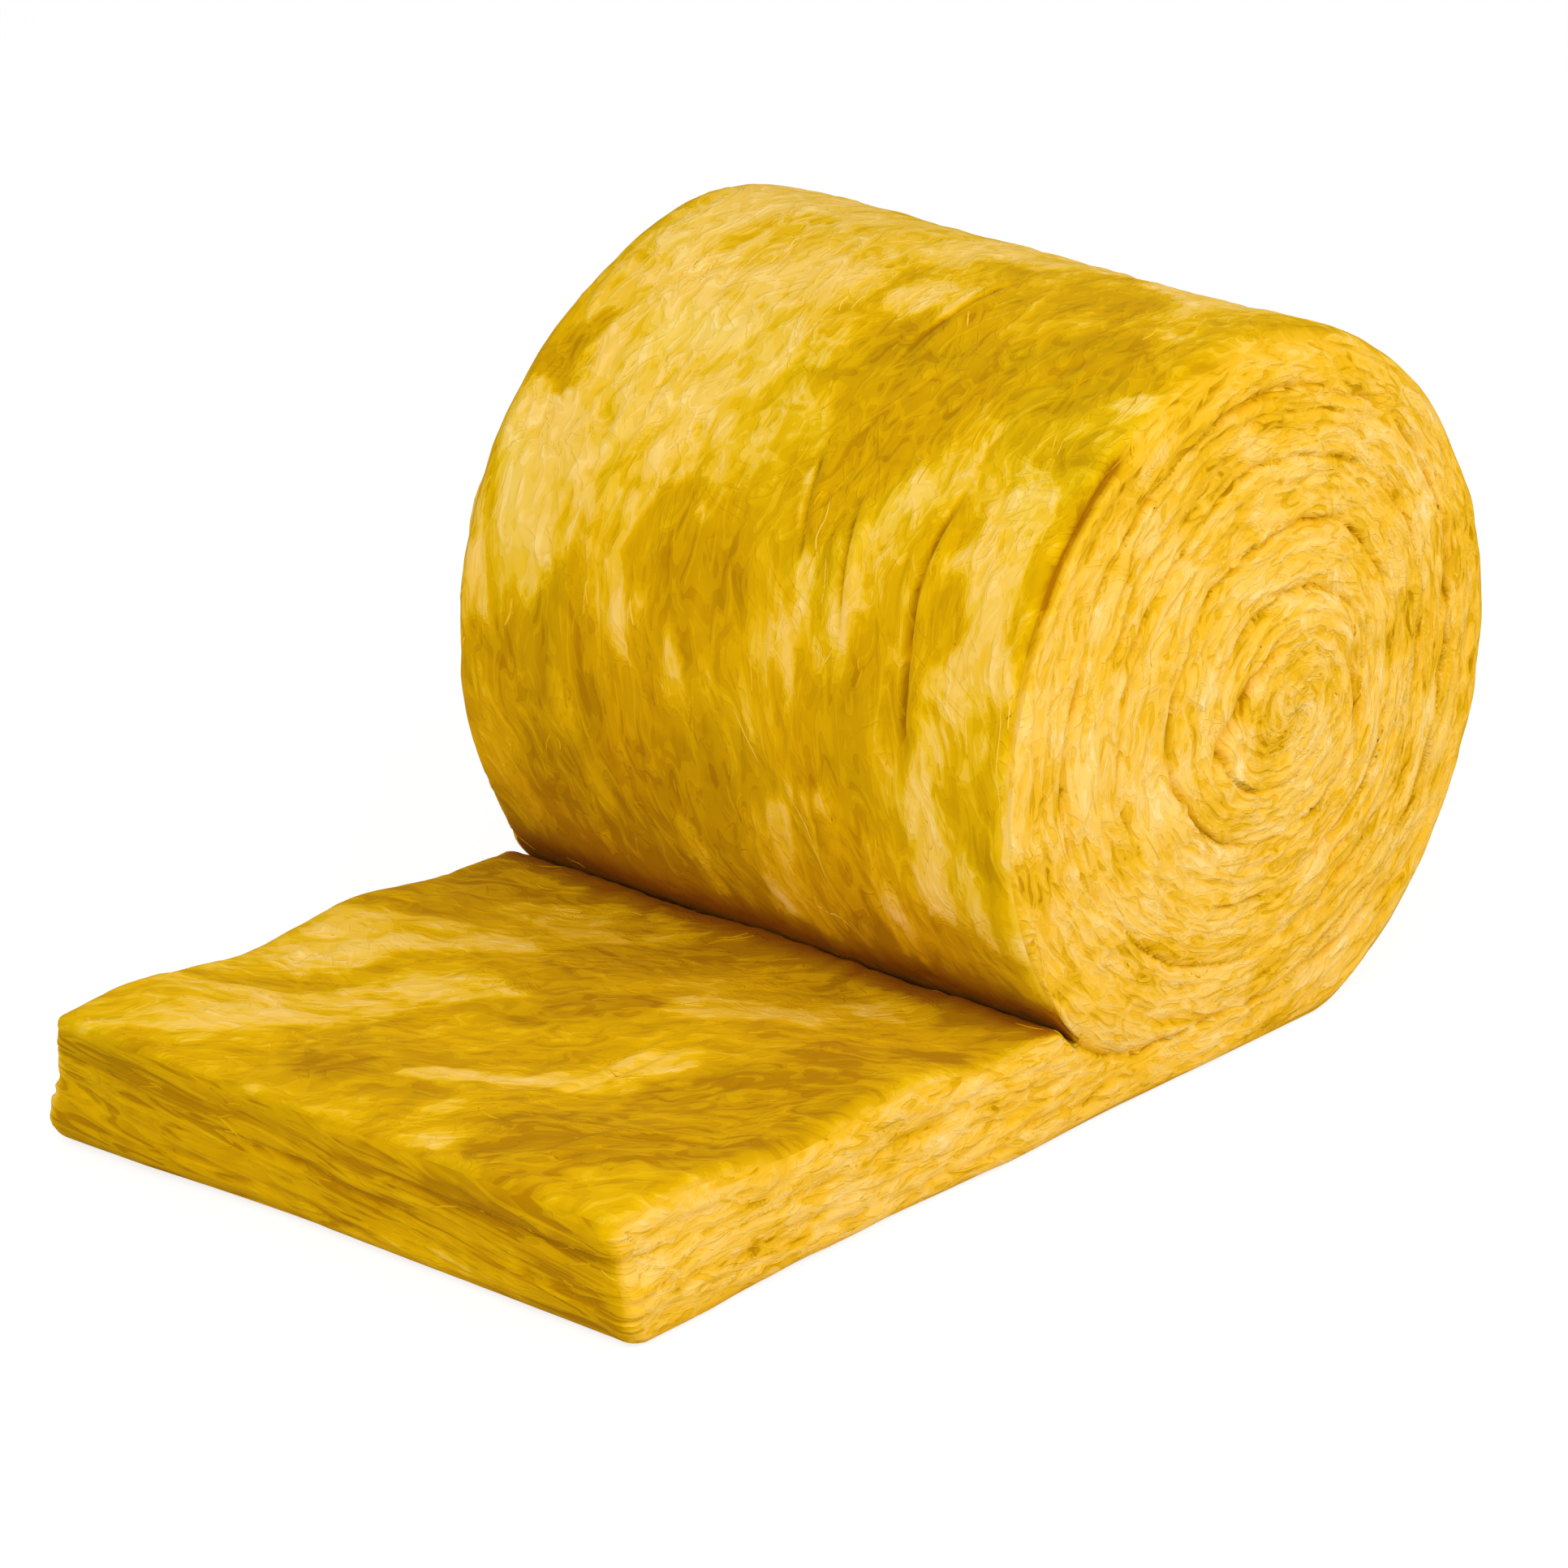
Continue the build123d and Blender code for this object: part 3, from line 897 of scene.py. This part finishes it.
def make_roll():
    """One closed mesh of the whole blanket, with the attributes that its material reads."""
    points, facing, place, cut, tilt, faces = blanket_form()
    x, y, z = points.T
    distance, angle = y + HALF_WIDTH, roll_angle(x, z)
    endness = np.sin(np.abs(tilt))
    share = endness**3
    on_roll = from_axis(x, z) > ROLL_RADIUS - 0.045
    on_top = (on_roll & (z > NIP_Z - 0.02)).astype(float)

    skin, crease = skin_relief(place, distance, angle, on_top)
    layers, under = cut_relief(place, distance, z)
    skin = skin * (1 - cut) + layers * cut + bulge(angle, distance, on_top)
    near, near_seam = end_relief(x, z, 0.0)
    far, far_seam = end_relief(x, z, 40.0)
    end, seam = np.where(y < 0, near, far), np.where(y < 0, near_seam, far_seam)
    groove_height, groove = rim_groove(angle, tilt, on_top)
    fold_depth, fold = folds(points)
    height = skin * (1 - share) + end * share + groove_height - fold_depth
    height *= 1 - ease(-facing[:, 2], 0.5, 0.95)
    on_tail_top = ease(NIP_X - x, 0, 0.06) * (z < TAIL_THICKNESS + 0.02)
    rise = TAIL_FAR_RISE * on_tail_top * ease(distance, 0.42, 0.59)
    height += rise * ease(facing[:, 2], 0.2, 0.9)
    on_tail_side = ease(AXIS_X - x, 0, 0.3) * ease(0.13 - z, 0, 0.03) * share
    height += TAIL_SIDE_FULLNESS * on_tail_side
    moved = points + facing * height[:, None] + flare(points)
    moved[:, 2] = np.maximum(moved[:, 2], 0.0)

    mesh = bpy.data.meshes.new("glass_wool_roll")
    loops = np.concatenate([part.ravel() for part in faces])
    sizes = np.concatenate([np.full(len(part), part.shape[1]) for part in faces])
    starts = np.append(0, np.cumsum(sizes)[:-1])
    mesh.vertices.add(len(moved))
    mesh.vertices.foreach_set("co", moved.ravel())
    mesh.loops.add(len(loops))
    mesh.loops.foreach_set("vertex_index", loops)
    mesh.polygons.add(len(sizes))
    mesh.polygons.foreach_set("loop_start", starts)
    mesh.polygons.foreach_set("use_smooth", np.ones(len(sizes), bool))
    mesh.update(calc_edges=True)

    # Painted shade in the seams, sheet edges, groove, folds, creases, under the top sheet and at the
    # nip
    ragged = noise(distance / 0.070, 0.5, 2.2) + noise(distance / 0.016, place / 0.09, 8.8)
    nip_shade_reach = np.where(on_top > 0, 0.036 + 0.012 * ragged, 0.018)
    nip = bell(from_nip(x, z + 0.002) / nip_shade_reach)
    hollow_shade = 0.95 * seam * share + 1.5 * groove + 0.95 * fold
    hollow_shade += (1.3 * (crease + 0.35 * cut * under) + 2.2 * nip) * (1 - share)
    # Painted shade: an olive tint on the skin facing -X, stronger on the roll than on the tail
    shade_side_olive = ease(-facing[:, 0], -0.1, 0.6) * (1 - endness) * (0.35 + 0.65 * on_top)
    store(mesh, "skin_at", slanted(points, place, distance), "FLOAT_VECTOR")
    wind_at = corner_winding(points, cut, loops, sizes, starts)
    store(mesh, "wind_at", wind_at, "FLOAT_VECTOR", "CORNER")
    store(mesh, "layered", np.maximum(endness**2, cut))
    store(mesh, "endness", endness)
    store(mesh, "paleness", paleness(points, place, distance, endness, cut))
    store(mesh, "shade_side_olive", shade_side_olive)
    store(mesh, "hollow_shade", np.clip(hollow_shade, 0, 2))
    return new_object("glass_wool_roll", mesh)


def slanted(points, place, distance):
    """Coordinates whose first axis follows the skin's fibres, which wander and slant low down."""
    x, y, z = points.T
    over_nip = z > NIP_Z - 0.02
    past_slant, past_stretch = (
        share * ROLL_RADIUS * np.radians(np.clip(roll_angle(x, z) - start, 0, most)) * over_nip
        for share, start, most in (LOWER_SLANT, LOWER_STRETCH)
    )
    stray = 0.012 * noise(x / 0.11, y / 0.11, z / 0.11 + 6)
    stray += 0.004 * noise(x / 0.04, y / 0.04, z / 0.04)
    off_roll = from_axis(x, z) > ROLL_RADIUS + SKIN_TOLERANCE
    in_tail = off_roll & (x < NIP_X + 0.01) & (z < TAIL_THICKNESS + TAIL_CLEARANCE)
    tail_along, tail_across = tail_fibres(x, y)
    along = np.where(in_tail, tail_along, place - past_stretch)
    across = np.where(in_tail, tail_across, distance + past_slant) + stray
    fine_along, fine_across = (
        np.where(in_tail, *pair) for pair in zip(TAIL_FINENESS, SKIN_FINENESS)
    )
    return stack(fine_along * along, fine_across * across, 0 * along)


def corner_winding(points, cut, loops, sizes, starts):
    """Length and depth in the winding at each face corner, kept together across the seam."""
    middles = np.add.reduceat(points[loops], starts, axis=0) / sizes[:, None]
    turn, middle_part, _, _ = winding(*evened(middles[:, 0], middles[:, 2]))
    turn, middle_part = np.repeat(turn, sizes), np.repeat(middle_part, sizes)
    x, z = evened(points[:, 0], points[:, 2])
    turns, part = (values[loops] for values in unwound(x, z))
    done = turn + part - np.round(part - middle_part)
    in_tail = turn == -2
    along = np.where(in_tail, tail_length(x[loops]), wound_length(done))
    depth = np.where(in_tail, z[loops] + PITCH - FIRST_SEAM_HEIGHT, (turns - done) * PITCH)
    at_cut = np.repeat(np.add.reduceat(cut[loops], starts) / sizes, sizes) > 0.3
    distance = points[loops, 1] + HALF_WIDTH
    along = np.where(at_cut, CUT_STRETCH * (tail_length(TAIL_END_X) - distance), along)
    return stack(along, depth - at_cut * CUT_SLANT * distance, 0 * along)


def store(mesh, name, values, kind="FLOAT", domain="POINT"):
    """Writes an attribute of the mesh."""
    data = mesh.attributes.new(name, kind, domain).data
    field = "vector" if kind == "FLOAT_VECTOR" else "value"
    data.foreach_set(field, np.asarray(values, np.float32).ravel())


def new_object(name, data):
    """An object with that data, put into the scene."""
    made = bpy.data.objects.new(name, data)
    bpy.context.scene.collection.objects.link(made)
    return made


# Loose wool

def fibre_way(x, z, normal):
    """The way the fibres run at a place: round the roll, and slantwise on the tail's top."""
    in_tail = z < TAIL_THICKNESS + TAIL_CLEARANCE and x < NIP_X + 0.01
    if abs(normal.y) > 0.7:
        level = in_tail or z < FIRST_SEAM_HEIGHT
        way = Vector((1, 0, 0)) if level else Vector((SPIRAL_HEIGHT - z, 0, x - AXIS_X))
    elif in_tail and normal.z > 0.5:
        way = Vector((FIBRE_COS, FIBRE_SIN, 0))
    elif in_tail:
        way = Vector((0, 1, CUT_SLANT))
    else:
        way = Vector((-normal.z, 0, normal.x))
    return (way - way.dot(normal) * normal).normalized()


def loose_path(surface, start, stations, length, stray, curl):
    """Places and normals along one loose fibre that lies on the surface."""
    step = length / (stations - 1)
    found = [surface.find_nearest(start)[:2]]
    for station in range(1, stations):
        place, normal = found[-1]
        turned = stray + curl * (station / stations - 0.5)
        way = fibre_way(place.x, place.z, normal)
        way = way * math.cos(turned) + normal.cross(way) * math.sin(turned)
        found.append(surface.find_nearest(place + way * step)[:2])
    return found


def placed_threads(surface):
    """The long threads: each is a smooth line past its points, laid on the surface."""
    paths = []
    for passed in PLACED_THREADS:
        shares, known = np.linspace(0, 1, 5 * len(passed)), np.linspace(0, 1, len(passed))
        axes = zip(*(on_skin(*at) for at in passed))
        line = stack(*(np.interp(shares, known, axis) for axis in axes))
        for _ in range(6):
            line[1:-1] = (line[:-2] + 2 * line[1:-1] + line[2:]) / 4
        path = [surface.find_nearest(Vector(place))[:2] for place in line]
        paths.append((path, THREAD_WIDTH, THREAD_TONE))
    return paths


def add_strand(path, width, tone, points, triangles, tones):
    """Adds a closed, tapering strand with three sides along the path."""
    first = len(points)
    last = len(path) - 1
    points.append(path[0][0])
    for station in range(1, last):
        place, normal = path[station]
        along = path[station + 1][0] - path[station - 1][0]
        across = normal.cross(along).normalized()
        swell = width * math.sin(math.pi * (station + 0.3) / (last + 0.6)) ** 0.7
        points.append(place - across * swell / 2 - normal * swell * LOOSE_SINK)
        points.append(place + across * swell / 2 - normal * swell * LOOSE_SINK)
        points.append(place + normal * swell * LOOSE_HEIGHT)
    points.append(path[last][0])
    end = len(points) - 1
    for side in range(3):
        near, far = first + 1 + side, first + 1 + (side + 1) % 3
        triangles.append((first, near, far))
        for ring in range(last - 2):
            low, high = near + 3 * ring, far + 3 * ring
            triangles.append((low, low + 3, high))
            triangles.append((high, low + 3, high + 3))
        triangles.append((near + 3 * (last - 2), end, far + 3 * (last - 2)))
    tones.extend([tone] * (len(points) - first))


def make_loose(name, paths, material):
    """One mesh of all the strands of a kind: paths with their width and tone."""
    points, triangles, tones = [], [], []
    for path, width, tone in paths:
        add_strand(path, width, tone, points, triangles, tones)
    mesh = bpy.data.meshes.new(name)
    mesh.from_pydata([tuple(point) for point in points], [], triangles)
    mesh.polygons.foreach_set("use_smooth", np.ones(len(triangles), bool))
    store(mesh, "paleness", tones)
    mesh.materials.append(material)
    loose = new_object(name, mesh)
    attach(loose, "root")


def values_of(items, name, width=1, kind=float):
    """A property of all the items of a mesh, as an array."""
    values = np.empty(len(items) * width, kind)
    items.foreach_get(name, values)
    return values.reshape(-1, width) if width > 1 else values


def scatter_loose(roll, material):
    """All the loose wool: scattered flakes, threads and hairs, and the placed threads."""
    mesh = roll.data
    places = values_of(mesh.vertices, "co", 3)
    normals = values_of(mesh.polygons, "normal", 3)
    starts = values_of(mesh.polygons, "loop_start", kind=int)
    firsts = values_of(mesh.loops, "vertex_index", kind=int)[starts]
    pale = values_of(mesh.attributes["paleness"].data, "value", kind=np.float32)
    polygons = [tuple(polygon.vertices) for polygon in mesh.polygons]
    surface = BVHTree.FromPolygons([tuple(place) for place in places], polygons)
    in_open = (normals[:, 2] > -0.5) & (places[firsts, 2] > 0.008)
    weights = values_of(mesh.polygons, "area") * in_open
    weights *= np.where(np.abs(normals[:, 1]) > 0.7, LOOSE_ON_ENDS, 1.0)
    weights /= weights.sum()
    random = np.random.default_rng(11)
    for name, (count, most, stations, lengths, widths, strays, curls, shades) in LOOSE_WOOL.items():
        paths = []
        for chosen in firsts[random.choice(len(weights), count, p=weights)]:
            for _ in range(random.integers(1, most + 1)):
                start = Vector(places[chosen] + random.normal(0, LOOSE_SPREAD, 3))
                length = random.uniform(*lengths)
                stray, curl = random.normal(0, strays), random.normal(0, curls)
                tone = pale[chosen] + random.uniform(*shades)
                path = loose_path(surface, start, stations, length, stray, curl)
                paths.append((path, random.uniform(*widths), tone))
        if name == "wool_threads":
            paths += placed_threads(surface)
        make_loose(name, paths, material)


# Material: mottled, streaky fibre, finer than the mesh

def cleared(owner):
    """The owner's node tree, emptied."""
    owner.use_nodes = True
    owner.node_tree.nodes.clear()
    return owner.node_tree


def add(tree, kind, inputs=None, **settings):
    """A shader node of the tree with its settings, and with values or links on its inputs."""
    node = tree.nodes.new("ShaderNode" + kind)
    for name, value in settings.items():
        setattr(node, name, value)
    for name, value in (inputs or {}).items():
        if isinstance(value, bpy.types.NodeSocket):
            tree.links.new(value, node.inputs[name])
        else:
            node.inputs[name].default_value = value
    return node


def attribute(tree, name, output="Fac"):
    """An attribute that the mesh carries."""
    return add(tree, "Attribute", attribute_name=name).outputs[output]


def math_node(tree, operation, *values):
    """The result of a Math node."""
    return add(tree, "Math", dict(enumerate(values)), operation=operation).outputs[0]


def map_range(tree, value, low, high, to_low=0.0, to_high=1.0):
    """The value carried from one range to another, and kept inside it."""
    ranges = {0: value, 1: low, 2: high, 3: to_low, 4: to_high}
    return add(tree, "MapRange", ranges).outputs[0]


def mix_colours(tree, share, first, second):
    """A mix of two colours."""
    return add(tree, "Mix", {0: share, 6: first, 7: second}, data_type="RGBA").outputs[2]


def add_layers(tree, total, *layers, centred=False):
    """The total with layers added by their strengths, each about its middle if they are centred."""
    for layer, strength in layers:
        if centred:
            total = math_node(tree, "SUBTRACT", total, strength / 2)
        total = math_node(tree, "MULTIPLY_ADD", layer, strength, total)
    return total


def streaks(tree, place, along, across, detail, distortion):
    """Noise by how often it changes in a metre along the fibres and across them."""
    mapped = add(tree, "Mapping", {"Vector": place, "Scale": (along, across, 1)}).outputs[0]
    return add(tree, "TexNoise", {
        "Vector": mapped,
        "Scale": 1.0,
        "Detail": detail,
        "Roughness": 0.55,
        "Distortion": distortion,
    }, noise_dimensions="2D").outputs[0]


def sheet_edges(tree, place, broad, wide):
    """Edges of torn sheets: a slow rise and a quick drop, over and over across the fibres."""
    apart = add(tree, "SeparateXYZ", {"Vector": place})
    level = math_node(tree, "MULTIPLY", apart.outputs["Y"], SHEETS_PER_METRE)
    level = math_node(tree, "MULTIPLY_ADD", broad, 9.0, level)
    part = math_node(tree, "FRACT", level)
    rise = math_node(tree, "DIVIDE", part, 1 - SHEET_EDGE)
    drop = math_node(tree, "DIVIDE", math_node(tree, "SUBTRACT", 1.0, part), SHEET_EDGE)
    saw = math_node(tree, "MINIMUM", rise, drop)
    mask = map_range(tree, wide, 0.46, 0.60)
    return math_node(tree, "MULTIPLY_ADD", math_node(tree, "SUBTRACT", saw, 0.5), mask, 0.5)


def colour_ramp(tree, share, stops):
    """A colour from the share, by stops of place and colour."""
    node = add(tree, "ValToRGB", {"Fac": share})
    elements = node.color_ramp.elements
    while len(elements) < len(stops):
        elements.new(0.5)
    for element, (place, *colour) in zip(elements, stops):
        element.position = place
        element.color = (*colour, 1)
    return node.outputs[0]


def wool_shader(tree, colour, **more):
    """Dull wool of that colour with a faint sheen, as the material's output."""
    shader = add(tree, "BsdfPrincipled", {
        "Base Color": colour,
        "Roughness": 0.95,
        "Specular IOR Level": 0.02,
        "Sheen Weight": 0.05,
        "Sheen Roughness": 0.6,
        "Sheen Tint": (1.0, 0.72, 0.15, 1),
        **more,
    })
    add(tree, "OutputMaterial", {0: shader.outputs[0]})


def glass_wool():
    """Yellow glass wool: deep gold to cream, and thin pale fibres; painted shade makes its creases
    and nip golden to dark brown and its side facing -X olive.
    """
    material = bpy.data.materials.new("glass_wool")
    tree = cleared(material)
    in_layers, hollow_shade = attribute(tree, "layered"), attribute(tree, "hollow_shade")
    skin_at, wind_at = (attribute(tree, name, "Vector") for name in ("skin_at", "wind_at"))
    closer = add(tree, "VectorMath", {0: wind_at, 1: END_FINENESS}, operation="MULTIPLY").outputs[0]
    side = math_node(tree, "GREATER_THAN", in_layers, 0.5)
    at = add(tree, "Mix", {0: side, 4: skin_at, 5: closer}, data_type="VECTOR").outputs[1]
    aside = math_node(tree, "ABSOLUTE", math_node(tree, "SUBTRACT", in_layers, 0.5))

    broad = streaks(tree, at, 8, 12, 4.0, 0.8)
    streams = streaks(tree, at, 5, 58, 2.0, 0.5)
    wide = streaks(tree, at, 19, 60, 2.5, 0.8)
    fine = streaks(tree, at, 60, 150, 2.0, 0.6)
    slivers = streaks(tree, at, 24, 90, 1.0, 1.0)
    pale_sliver = map_range(tree, slivers, *PALE_SLIVERS)
    deep_sliver = map_range(tree, slivers, *DEEP_SLIVERS)
    shaded_crevice = math_node(tree, "MULTIPLY", map_range(tree, slivers, *CREVICES), side)
    edges = sheet_edges(tree, at, broad, wide)

    level = attribute(tree, "paleness")
    level = add_layers(tree, level, (broad, 0.74), (wide, 0.34), (streams, 0.28), centred=True)
    steps = 0.0
    for low in TONE_STEPS:
        step = map_range(tree, level, low, low + TONE_STEP_WIDTH, 0.0, 1 / len(TONE_STEPS))
        steps = math_node(tree, "ADD", steps, step)
    tone = math_node(tree, "MULTIPLY_ADD", steps, 0.24, 0.07)
    tone = math_node(tree, "MULTIPLY_ADD", level, 0.62, tone)
    tone = add_layers(tree, tone, (wide, 0.09), (fine, 0.04), centred=True)
    # Painted shade: the crevices on the ends are darker
    tone = add_layers(tree, tone, (pale_sliver, 0.12), (deep_sliver, -0.10), (shaded_crevice, -0.10))
    tone = add_layers(tree, tone, (edges, 0.08), centred=True)
    # Painted shade: the wool turns deeper gold in the hollows
    tone = add_layers(tree, tone, (hollow_shade, -0.35))

    shown_end = map_range(tree, attribute(tree, "endness"), 0.45, 0.85)
    skin, end, shade = (
        colour_ramp(tree, tone, stops) for stops in (SKIN_COLOURS, END_COLOURS, SHADE_SIDE_OLIVE_COLOURS)
    )
    colour = mix_colours(tree, shown_end, skin, end)
    # Painted shade: olive patches on the side facing -X, broken up by noise
    olive_shade_share = map_range(tree, streaks(tree, skin_at, 5, 7, 1.0, 0.6), 0.46, 0.66, 0.0, 0.28)
    olive_shade_share = math_node(tree, "MULTIPLY", olive_shade_share, attribute(tree, "shade_side_olive"))
    colour = mix_colours(tree, olive_shade_share, colour, shade)
    # Painted shade: the deepest hollows and the nip turn dark brown
    deep = map_range(tree, hollow_shade, 0.8, 1.9, 0.0, 0.85)
    colour = mix_colours(tree, deep, colour, NIP_SHADE_COLOUR)

    relief = add_layers(
        tree, math_node(tree, "MULTIPLY", wide, 0.25),
        (fine, 0.03), (steps, 0.28), (pale_sliver, 0.06), (deep_sliver, -0.06), (shaded_crevice, -0.08),
        (edges, 0.12),
    )
    relief = math_node(tree, "MULTIPLY", relief, map_range(tree, aside, 0.0, 0.2))
    bump = add(tree, "Bump", {"Strength": BUMP_STRENGTH, "Distance": BUMP_HEIGHT, "Height": relief})
    wool_shader(tree, colour, Normal=bump.outputs[0])
    return material


def loose_material():
    """The same wool in thin strands, by how pale each strand is."""
    material = bpy.data.materials.new("glass_wool_loose")
    tree = cleared(material)
    place = add(tree, "TexCoord").outputs["Object"]
    grain = add(tree, "TexNoise", {"Vector": place, "Scale": 160.0, "Detail": 1.0}).outputs[0]
    tone = add_layers(tree, attribute(tree, "paleness"), (grain, 0.16), centred=True)
    wool_shader(tree, colour_ramp(tree, tone, SKIN_COLOURS))
    return material


# Floor, background, light and camera

def seen_directly(tree):
    """1 where the camera sees a thing itself, in gloss or through glass, and 0 for its light."""
    path = add(tree, "LightPath")
    seen = math_node(tree, "MAXIMUM", path.outputs["Is Camera Ray"], path.outputs["Is Glossy Ray"])
    return math_node(tree, "MAXIMUM", seen, path.outputs["Is Transmission Ray"])


def make_floor():
    """A wide level floor just under the wool, white to the camera where no shadow lies."""
    half = FLOOR_HALF_SIZE
    mesh = bpy.data.meshes.new("floor")
    corners = [(-half, -half, 0), (half, -half, 0), (half, half, 0), (-half, half, 0)]
    mesh.from_pydata(corners, [], [(0, 1, 2, 3)])
    material = bpy.data.materials.new("pale_floor")
    tree = cleared(material)
    pale, shaded = (
        add(tree, "BsdfDiffuse", {"Color": (grey, grey, grey, 1)}).outputs[0]
        for grey in (0.75, 0.30)
    )
    glow = add(tree, "Emission", {"Color": (1, 1, 1, 1), "Strength": 0.80}).outputs[0]
    white = add(tree, "AddShader", {0: shaded, 1: glow}).outputs[0]
    mixed = add(tree, "MixShader", {0: seen_directly(tree), 1: pale, 2: white}).outputs[0]
    add(tree, "OutputMaterial", {0: mixed})
    mesh.materials.append(material)
    floor = new_object("floor", mesh)
    floor.location.z = -FLOOR_DROP


def make_world():
    """Soft even light from all sides, white to the camera."""
    world = bpy.data.worlds.new("studio")
    bpy.context.scene.world = world
    tree = cleared(world)
    soft, white = (
        add(tree, "Background", {"Color": (1, 1, 1, 1), "Strength": strength}).outputs[0]
        for strength in (WORLD_STRENGTH, 1.0)
    )
    mixed = add(tree, "MixShader", {0: seen_directly(tree), 1: soft, 2: white}).outputs[0]
    add(tree, "OutputWorld", {0: mixed})


def direction(azimuth, elevation):
    """The way towards a place in the room; azimuth goes from -Y towards +X."""
    turned, raised = math.radians(azimuth), math.radians(elevation)
    level = math.cos(raised)
    return Vector((math.sin(turned) * level, -math.cos(turned) * level, math.sin(raised)))


def make_lamp(name, azimuth, elevation, distance, size, energy):
    """A soft square lamp aimed at the roll."""
    light = bpy.data.lights.new(name, "AREA")
    light.shape = "SQUARE"
    light.size = size
    light.energy = energy
    lamp = new_object(name, light)
    way = direction(azimuth, elevation)
    lamp.location = Vector((AXIS_X / 2, 0, AXIS_Z / 2)) + way * distance
    lamp.rotation_euler = way.to_track_quat("Z", "Y").to_euler()


def make_camera():
    """The photograph's view: a long lens, looking down along the tail onto the near end."""
    data = bpy.data.cameras.new("camera")
    data.sensor_width = 36
    data.lens = CAMERA_LENS
    data.shift_x, data.shift_y = CAMERA_SHIFT
    data.clip_end = 100
    camera = new_object("camera", data)
    back = direction(CAMERA_AZIMUTH, CAMERA_ELEVATION)
    camera.location = CAMERA_PLACE
    camera.rotation_euler = back.to_track_quat("Z", "Y").to_euler()
    bpy.context.scene.camera = camera


roll = make_roll()
roll.data.materials.append(glass_wool())
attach(roll, "root")
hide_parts("wool_blanket")
scatter_loose(roll, loose_material())

make_floor()
make_world()
for lamp in LAMPS:
    make_lamp(*lamp)
make_camera()
bpy.context.scene.view_settings.view_transform = "Standard"
